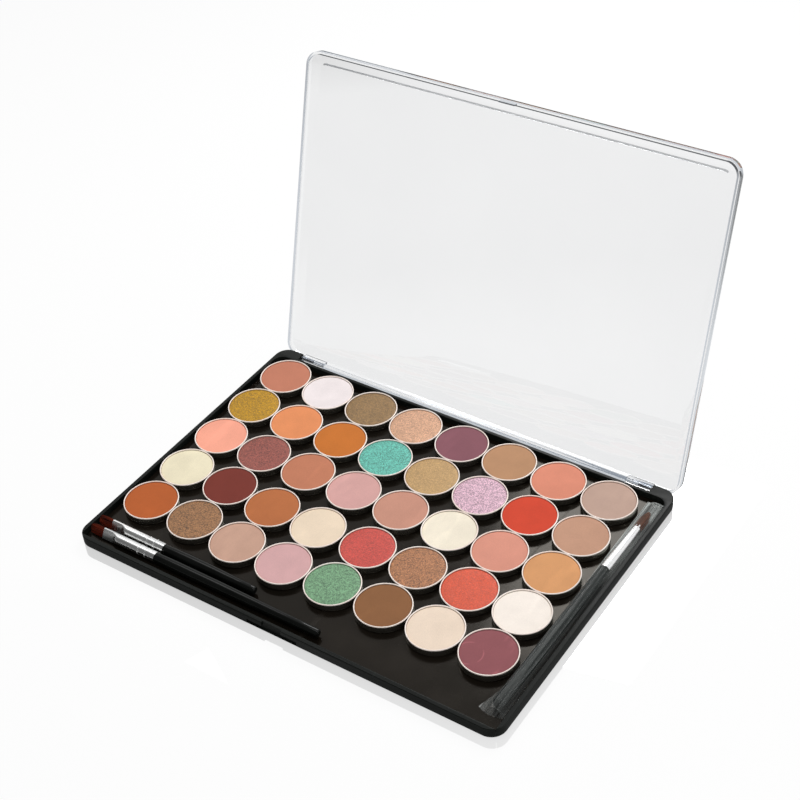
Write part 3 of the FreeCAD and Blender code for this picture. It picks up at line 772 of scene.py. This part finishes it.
def softened_copy(source, width, segments):
    """A moulding with its corners eased: the node's own form, merged, with every sharp edge rounded."""
    form = bmesh.new()
    form.from_mesh(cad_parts[source].data)
    bmesh.ops.scale(form, vec=(1 / MM, 1 / MM, 1 / MM), verts=form.verts)
    bmesh.ops.remove_doubles(form, verts=form.verts, dist=1e-3)
    bmesh.ops.dissolve_limit(
        form, angle_limit=FLAT_WITHIN, use_dissolve_boundaries=False, verts=form.verts, edges=form.edges)
    sharp = [
        edge for edge in form.edges if len(edge.link_faces) == 2 and edge.calc_face_angle() > SHARP_FROM]
    soften(form, sharp, width, segments)
    return form


def box_of(name):
    """The low and high corners of a node's box, in millimetres."""
    low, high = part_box(name)
    return low / MM, high / MM


def middle_of(name):
    """The middle of a node's box, in millimetres."""
    low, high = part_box(name)
    return (low + high) / 2 / MM


def bottom_of(name):
    """The middle of the underside of a node's box, in millimetres."""
    middle = middle_of(name)
    return Vector((middle.x, middle.y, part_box(name)[0].z / MM))


def make_cup():
    """A drawn pan: rounded bottom edge, straight wall and a rolled lip."""
    inside = PAN_RADIUS - PAN_LIP
    form = lathe([
        (0.0, 0.0), (PAN_RADIUS, 0.0), (PAN_RADIUS, PAN_HEIGHT), (inside, PAN_HEIGHT),
        (inside, PAN_FLOOR), (0.0, PAN_FLOOR)])
    soften(form, ring_edges(form, PAN_RADIUS, 0.0), FOOT_ROUNDING, 4)
    soften(form, ring_edges(form, PAN_RADIUS, PAN_HEIGHT), LIP_OUTER_ROUNDING, 4)
    soften(form, ring_edges(form, inside, PAN_HEIGHT), LIP_INNER_ROUNDING, 3)
    return form


def make_cake():
    """A pressed cake: nearly flat on top, falling a little towards the wall of its pan."""
    edge = PAN_RADIUS - PAN_LIP - CAKE_GAP
    side = [
        (0.0, PAN_FLOOR), (edge, PAN_FLOOR), (edge, CAKE_TOP - CAKE_SLUMP),
        (edge - 0.15, CAKE_TOP - 0.3 * CAKE_SLUMP)]
    top = [(edge - inward, CAKE_TOP + rise) for inward, rise in CAKE_RISE]
    return lathe(side + top + [(0.0, CAKE_TOP + CAKE_CROWN)])


def make_pans():
    """Forty pans, each with its own pressed shade."""
    metal = tinplate()
    for row, shades in enumerate(PAN_SHADES):
        for column, shade in enumerate(shades):
            pan = f"pan_r{row + 1}_c{column + 1}"
            seat = Matrix.Translation(bottom_of(pan))
            cup = make_cup()
            move(cup, seat)
            finish_piece(pan + "_cup", cup, metal, pan, nodes=[pan])
            cake = make_cake()
            move(cake, seat @ Matrix.Rotation(ROW_TURN * row + COLUMN_TURN * column, 4, "Z"))
            powder = shimmer_cake(shade) if shade in SHIMMERING else matte_cake(shade)
            finish_piece(pan + "_cake", cake, powder, pan)


def stamp_dashes(form, place):
    """Press a row of dashes into the band of faces that holds a height: two faces of every three."""
    band = [
        face for face in form.faces
        if min(point.co.z for point in face.verts) < place < max(point.co.z for point in face.verts)
        and abs(face.normal.z) < 0.5]
    band.sort(key=lambda face: math.atan2(face.calc_center_median().y, face.calc_center_median().x))
    pressed = [face for number, face in enumerate(band) if number % 3 != 2]
    bmesh.ops.inset_region(
        form, faces=pressed, thickness=DASH_INSET, depth=-DASH_DEPTH, use_even_offset=True)


def flatten_mouth(form):
    """Crimp the mouth end of a ferrule flat, easing into its round end."""
    for point in form.verts:
        share = min(max((CRIMP_END - point.co.z) / (CRIMP_END - CRIMP_FLAT), 0.0), 1.0)
        ease = share * share * (3 - 2 * share)
        limit = MOUTH_RADIUS + (MOUTH_HALF_THICKNESS - MOUTH_RADIUS) * ease
        point.co.y = min(max(point.co.y, -limit), limit)


def make_loose_ferrule():
    """A ferrule crimped flat at its mouth, with two rows of stamped dashes."""
    mouth = [(MOUTH_RADIUS, TUFT_LENGTH), (MOUTH_RADIUS, TUFT_LENGTH + MOUTH_RIM), (MOUTH_RADIUS, CRIMP_FLAT)]
    crimp = [(MOUTH_RADIUS - narrower, place) for narrower, place in CRIMP_STEPS]
    bands = [
        (FERRULE_RADIUS, place + side) for place in DASH_ROWS for side in (-DASH_HALF_WIDTH, DASH_HALF_WIDTH)]
    end = [(FERRULE_RADIUS, FERRULE_END - FERRULE_EASING), (FERRULE_RADIUS - 0.05, FERRULE_END)]
    form = turned_rod(mouth + crimp + [(FERRULE_RADIUS, CRIMP_END)] + bands + end)
    for place in DASH_ROWS:
        stamp_dashes(form, place)
    flatten_mouth(form)
    return form


def make_tuft(count, length, sections, rounding):
    """A bundle of fine tapered hairs along Z, rounded off at its tip."""
    form = bmesh.new()
    chance = random.Random(BRISTLE_SEED)
    for _ in range(count):
        turn = chance.uniform(0.0, math.tau)
        reach = math.sqrt(chance.uniform(0.0, 1.0))
        spot = Vector((math.cos(turn), math.sin(turn))) * reach
        shorter = rounding * reach ** 4 + chance.uniform(0.0, HAIR_UNEVEN)
        add_hair(form, spot, length, shorter, sections)
    return form


def add_hair(form, spot, length, shorter, sections):
    """One hair: a four-sided rod drawn out through three sections to a fine point."""
    root, belly, tip = sections
    ring = bmesh.ops.create_circle(form, cap_ends=True, segments=4, radius=HAIR_RADIUS)["verts"]
    place = Vector((spot.x * root[0], spot.y * root[1], length))
    bmesh.ops.translate(form, vec=place, verts=ring)
    last = unique(face for point in ring for face in point.link_faces)
    for section, height, keep in ((belly, length * HAIR_BELLY, HAIR_AT_BELLY), (tip, shorter, HAIR_AT_TIP)):
        grown = bmesh.ops.extrude_discrete_faces(form, faces=last)["faces"]
        ends = unique(point for face in grown for point in face.verts)
        target = Vector((spot.x * section[0], spot.y * section[1], height))
        centre = sum((point.co for point in ends), Vector()) / len(ends)
        bmesh.ops.scale(form, vec=(keep, keep, keep), space=Matrix.Translation(-centre), verts=ends)
        bmesh.ops.translate(form, vec=target - centre, verts=ends)
        last = grown


def along_x(tip):
    """From the drawing axis Z to the X axis of the tray, starting at a tip."""
    quarter = math.radians(90)
    return Matrix.Translation(tip) @ Matrix.Rotation(quarter, 4, "Y") @ Matrix.Rotation(quarter, 4, "Z")


def loose_handle_stations(length):
    """Radii along a loose handle from its ferrule to its rounded end."""
    end = FERRULE_END + length
    belly = FERRULE_END + BELLY_AT
    return [
        (HANDLE_NECK, FERRULE_END),
        (0.5 * (HANDLE_NECK + BELLY_RADIUS) + 0.04, FERRULE_END + 0.45 * BELLY_AT),
        (BELLY_RADIUS, belly), (BELLY_RADIUS - 0.08, belly + 0.3 * (end - belly)),
        (HANDLE_END_RADIUS + 0.18, end - 0.25 * (end - belly)), (HANDLE_END_RADIUS, end - 0.7),
        (HANDLE_END_RADIUS - 0.2, end - 0.2), (HANDLE_END_RADIUS - 0.6, end)]


def make_loose_brushes():
    """The two flat brushes in the front bay."""
    hair = bristle(
        "red_brown_hair", (0.022, 0.0025, 0.0012, 1.0), (0.17, 0.021, 0.007, 1.0), (0.06, 1.0, 1.0))
    metal = ferrule_metal("bright_ferrule", (0.6, 0.61, 0.61, 1.0), (0.94, 0.94, 0.93, 1.0), (0.05, 1.0, 1.0))
    paint = lacquer("black_lacquer", (0.003, 0.0035, 0.003, 1.0), (0.006, 0.0065, 0.006, 1.0), 0.04)
    for brush in ("short_brush", "long_brush"):
        low, high = box_of(brush + "_handle")
        axis = middle_of(brush + "_handle")
        tip = Vector((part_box(brush + "_tuft")[0].x / MM, axis.y, axis.z))
        lie = along_x(tip) @ Matrix.Rotation(BRUSH_ROLL, 4, "Z")

        tuft = make_tuft(TUFT_HAIRS, TUFT_LENGTH + HAIR_ROOT, TUFT_SECTIONS, TUFT_ROUNDING)
        move(tuft, lie)
        finish_piece(brush + "_hair", tuft, hair, brush, [brush + "_tuft"], sharp=80.0)

        ferrule = make_loose_ferrule()
        move(ferrule, lie)
        finish_piece(brush + "_collar", ferrule, metal, brush, [brush + "_ferrule"])

        handle = turned_rod(loose_handle_stations(high.x - low.x))
        move(handle, lie)
        finish_piece(
            brush + "_stick", handle, paint, brush, [brush + "_handle"], sharp=50.0)


def make_sleeved_brush():
    """The thicker brush in the side bay."""
    brush = "sleeved_brush"
    hair = bristle("brown_hair", (0.07, 0.025, 0.015, 1.0), (0.2, 0.09, 0.055, 1.0), (1.0, 0.06, 1.0))
    metal = ferrule_metal("white_ferrule", (0.78, 0.78, 0.79, 1.0), (0.95, 0.95, 0.95, 1.0), (1.0, 0.05, 1.0))
    paint = lacquer("satin_lacquer", (0.007, 0.0095, 0.009, 1.0), (0.013, 0.0165, 0.0155, 1.0), 0.36)
    low, high = box_of(brush + "_tuft")
    tip = Vector(((low.x + high.x) / 2, high.y, (low.z + high.z) / 2))
    turn = Matrix.Rotation(-SLEEVED_TURN, 4, "Z") @ Matrix.Rotation(math.radians(90), 4, "X")
    lie = Matrix.Translation(tip) @ turn

    tuft = make_tuft(SLEEVED_HAIRS, SLEEVED_TUFT + HAIR_ROOT, SLEEVED_SECTIONS, SLEEVED_ROUNDING)
    move(tuft, lie)
    finish_piece(brush + "_hair", tuft, hair, brush, [brush + "_tuft"], sharp=80.0)

    ferrule = turned_rod(SLEEVED_FERRULE)
    move(ferrule, lie)
    finish_piece(brush + "_collar", ferrule, metal, brush, [brush + "_ferrule"])

    low, high = box_of(brush + "_handle")
    end = SLEEVED_FERRULE_END + (high.y - low.y) - 0.05
    belly = SLEEVED_FERRULE_END + BELLY_AT
    handle = turned_rod([
        (SLEEVED_NECK, SLEEVED_FERRULE_END), (SLEEVED_NECK + 0.12, SLEEVED_FERRULE_END + 5.0),
        (SLEEVED_RADIUS, belly), (SLEEVED_RADIUS - 0.05, belly + 40.0),
        (SLEEVED_END_RADIUS, end - 0.9), (SLEEVED_END_RADIUS - 0.65, end)])
    move(handle, lie)
    finish_piece(brush + "_stick", handle, paint, brush, [brush + "_handle"], sharp=30.0)


def make_sleeve():
    """A film tube drawn over the brush: tight over its back, lying flat at its sides, open at the front."""
    low, high = box_of("brush_sleeve")
    handle = middle_of("sleeved_brush_handle")
    form = bmesh.new()
    turn = form.verts.layers.float.new("turn")
    ring = bmesh.ops.create_circle(form, segments=FILM_POINTS, radius=1.0)["verts"]
    for point in ring:
        point[turn] = math.atan2(point.co.y, point.co.x)
    lines = unique(edge for point in ring for edge in point.link_edges)
    for number in range(FILM_STATIONS + 1):
        share = number / FILM_STATIONS
        along = low.y + share * (high.y - low.y)
        hump = handle.x + (along - handle.y) * math.tan(SLEEVED_TURN)
        for point in ring:
            point.co = film_point(point[turn], along, share, hump, low, high)
        if number < FILM_STATIONS:
            grown = bmesh.ops.extrude_edge_only(form, edges=lines)["geom"]
            ring = [item for item in grown if isinstance(item, bmesh.types.BMVert)]
            lines = [item for item in grown if isinstance(item, bmesh.types.BMEdge)]
    bmesh.ops.recalc_face_normals(form, faces=form.faces)
    tube = finish_piece(
        "brush_film_tube", form, sleeve_film(), "sleeved_brush", ["brush_sleeve"], sharp=75.0)
    wall = tube.modifiers.new("film_thickness", "SOLIDIFY")
    wall.thickness = FILM_THICKNESS * MM
    wall.offset = -1.0


def film_point(turn, along, share, hump, low, high):
    """Where a point of the film lies; its turn goes round the tube from the right edge over the top."""
    left = low.x - FILM_SPREAD * max(1.0 - share / FILM_SPREAD_END, 0.0) ** 1.5
    middle = (left + high.x) / 2
    x = middle + math.cos(turn) * (high.x - left) / 2
    over_brush = math.sin(turn) > 1e-6
    raised = min(abs(math.sin(turn)) * 4.0, 1.0)
    sealed = min(max((share - FILM_SEAL_FROM) / FILM_SEAL, 0.0), 1.0)
    crinkle = FILM_CRINKLE * math.sin(23.0 * share + 2.0 * turn)
    height = film_height(x - hump, hump - left, high.x - hump) + crinkle
    lift = FILM_EDGE + (height - FILM_EDGE) * raised * (1.0 - 0.75 * sealed)
    z = low.z + (lift if over_brush else FILM_EDGE - raised * (FILM_EDGE - FILM_UNDERSIDE))
    curl = FILM_CURL * (1.0 - share) ** 6 * ((x - middle) / (high.x - left)) ** 2 * 4.0
    return Vector((x, along + curl, z))


def film_height(offset, left, right):
    """Height of taut film over the round brush: along its back, then straight down to the film's edge."""
    side = min(left if offset < 0 else right, FILM_LANDING)
    drop = FILM_AXIS - FILM_EDGE
    reach = math.hypot(side, drop)
    leave = min(math.atan2(drop, side) + math.asin(min(FILM_RADIUS / reach, 1.0)), FILM_STEEPEST)
    away = abs(offset)
    if away <= FILM_RADIUS * math.sin(leave):
        return FILM_AXIS + math.sqrt(FILM_RADIUS ** 2 - away ** 2)
    return max(FILM_AXIS + (FILM_RADIUS - away * math.sin(leave)) / math.cos(leave), FILM_EDGE)


def dress(name, material):
    """Give a node its finish."""
    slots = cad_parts[name].data.materials
    slots.clear()
    slots.append(material)


def make_case():
    """The tray, its sheet, the lid and the hinge pins."""
    tray = softened_copy("tray", TRAY_ROUNDING, 2)
    finish_piece("tray_moulding", tray, black_moulding(), "case", ["tray"])
    lid = softened_copy("lid", LID_ROUNDING, 3)
    finish_piece("lid_moulding", lid, clear_moulding(), "cover", ["lid"])
    make_bead()
    dress("magnet_sheet", magnet_rubber())
    steel = pin_steel()
    dress("hinge_pin_left", steel)
    dress("hinge_pin_right", steel)


def make_bead():
    """A fine frosted bead along the front of the lid's raised middle, bent a little at its ends, that paints
    a shade line.
    """
    bead = bmesh.new()
    bmesh.ops.create_grid(bead, x_segments=1, y_segments=1, size=0.5)
    plan = (LID_WIDTH - 2 * LID_BORDER, LID_DEPTH - 2 * LID_BORDER, 1.0)
    bmesh.ops.scale(bead, vec=plan, verts=bead.verts)
    bmesh.ops.bevel(
        bead, geom=bead.verts[:], offset=BEAD_CORNER, offset_type="OFFSET", segments=6, profile=0.5,
        affect="VERTICES", material=-1)
    middle = bead.faces[:]
    bmesh.ops.inset_region(bead, faces=middle, thickness=BEAD_WIDTH, use_boundary=True, use_even_offset=True)
    front = LID_BORDER + BEAD_WIDTH - LID_DEPTH / 2
    beyond = [face for face in bead.faces if face.calc_center_median().y > front]
    bmesh.ops.delete(bead, geom=unique(middle + beyond), context="FACES")
    bmesh.ops.recalc_face_normals(bead, faces=bead.faces)
    top = bmesh.ops.extrude_face_region(bead, geom=bead.faces[:])["geom"]
    raised = [item for item in top if isinstance(item, bmesh.types.BMVert)]
    bmesh.ops.translate(bead, vec=(0.0, 0.0, BEAD_HEIGHT), verts=raised)
    bmesh.ops.recalc_face_normals(bead, faces=bead.faces)
    upper = [edge for edge in bead.edges if min(point.co.z for point in edge.verts) > BEAD_HEIGHT / 2]
    soften(bead, [edge for edge in upper if edge.calc_face_angle() > 0.5], BEAD_ROUNDING, 2)
    swing = Matrix.Rotation(-LID_OPEN, 4, "X")
    opened = Matrix.Translation(HINGE_PLACE) @ swing @ Matrix.Translation(-HINGE_PLACE)
    move(bead, opened @ Matrix.Translation((0.0, 0.0, LID_TOP)))
    finish_piece("lid_bead", bead, painted_shade_bead(), "cover")


# Studio

def polished_white():
    """White where the table is open, polished beside the case, with painted shade far off and where pieces
    close by mirror it.
    """
    material, tree, end = empty_material("polished_white")
    rays = tree.nodes.new("ShaderNodeLightPath").outputs
    camera = rays["Is Camera Ray"]
    away = vector_maths(tree, "LENGTH", object_place(tree))
    spot = object_axes(tree)
    beside = maths(
        tree, "MAXIMUM", maths(tree, "SUBTRACT", maths(tree, "ABSOLUTE", spot["X"]), TRAY_WIDTH / 2 * MM),
        maths(tree, "SUBTRACT", maths(tree, "ABSOLUTE", spot["Y"]), LID_DEPTH / 2 * MM))

    through = maths(
        tree, "MULTIPLY", rays["Is Transmission Ray"], spread(tree, away, *WHITE_THROUGH_CLEAR))
    # Painted shade on the table as pieces mirror it: dimmer far off and close beside the case.
    mirrored = maths(
        tree, "MULTIPLY", spread(tree, away, *MIRRORED_WHITE), spread(tree, beside, *PAINTED_SHADE_BESIDE_CASE))
    glow = maths(tree, "MAXIMUM", maths(tree, "MAXIMUM", camera, through), mirrored)
    paper = node(tree, "BsdfDiffuse", Color=PAPER_WHITE)
    open_white = join_shaders(tree, TABLE_WHITE_SHARE, paper, node(tree, "Emission", Strength=glow))

    slant = spread(tree, node(tree, "LayerWeight", Blend=0.5).outputs["Facing"], *POLISH_AT_SLANT)
    polish = maths(
        tree, "MULTIPLY", maths(tree, "MULTIPLY", camera, slant), spread(tree, beside, *POLISH_BESIDE_CASE))
    mirror = node(tree, "BsdfGlossy", Color=WHITE, Roughness=0.01)
    polished = join_shaders(tree, polish, open_white, mirror)
    tree.links.new(join_shaders(tree, seen_rays(tree, rays), paper, polished).outputs[0], end)
    return material


def make_table():
    """A pale polished table under the case."""
    form = bmesh.new()
    bmesh.ops.create_grid(form, x_segments=1, y_segments=1, size=TABLE_HALF)
    table = add_object("table", form, polished_white())
    table.location.z = -TABLE_DROP


def make_studio():
    """Even light from all round, and soft boxes overhead, behind the lid, to the left and to the right."""
    world = bpy.data.worlds.new("studio")
    bpy.context.scene.world = world
    world.use_nodes = True
    tree = world.node_tree
    tree.nodes.clear()
    output = tree.nodes.new("ShaderNodeOutputWorld")
    rays = tree.nodes.new("ShaderNodeLightPath").outputs
    fill = node(tree, "Background", Color=WHITE, Strength=FILL_LIGHT)
    way = node(tree, "SeparateXYZ", Vector=node(tree, "TexCoord").outputs["Generated"]).outputs
    through = maths(tree, "MULTIPLY", rays["Is Transmission Ray"], SEEN_THROUGH_CLEAR)
    around = maths(tree, "MAXIMUM", spread(tree, way["Y"], *BACKDROP), through)
    glow = maths(tree, "MAXIMUM", rays["Is Camera Ray"], around)
    white = node(tree, "Background", Color=WHITE, Strength=glow)
    lit = join_shaders(tree, seen_rays(tree, rays), fill, white)
    tree.links.new(lit.outputs[0], output.inputs["Surface"])
    for box in SOFT_BOXES:
        add_soft_box(*box)


def add_soft_box(name, place, target, sides, power):
    """A rectangular lamp that faces a point."""
    lamp = bpy.data.lights.new(name, "AREA")
    lamp.shape = "RECTANGLE"
    lamp.size, lamp.size_y = sides
    lamp.energy = power
    holder = bpy.data.objects.new(name, lamp)
    holder.location = place
    holder.rotation_euler = (Vector(target) - Vector(place)).to_track_quat("-Z", "Y").to_euler()
    bpy.context.scene.collection.objects.link(holder)


def make_camera():
    """The camera at the photograph's own place, turn and lens."""
    lens = bpy.data.cameras.new("photo_camera")
    lens.lens = CAMERA_LENS
    lens.sensor_width = CAMERA_SENSOR
    lens.clip_start = CAMERA_NEAR
    camera = bpy.data.objects.new("photo_camera", lens)
    back = -CAMERA_AHEAD.normalized()
    right = CAMERA_RIGHT.normalized()
    up = back.cross(right)
    turn = Matrix((right, up, back)).transposed()
    camera.matrix_world = Matrix.Translation(CAMERA_PLACE) @ turn.to_4x4()
    bpy.context.scene.collection.objects.link(camera)
    bpy.context.scene.camera = camera


bpy.context.scene.view_settings.view_transform = "Standard"
make_case()
make_pans()
make_loose_brushes()
make_sleeved_brush()
make_sleeve()
make_table()
make_studio()
make_camera()
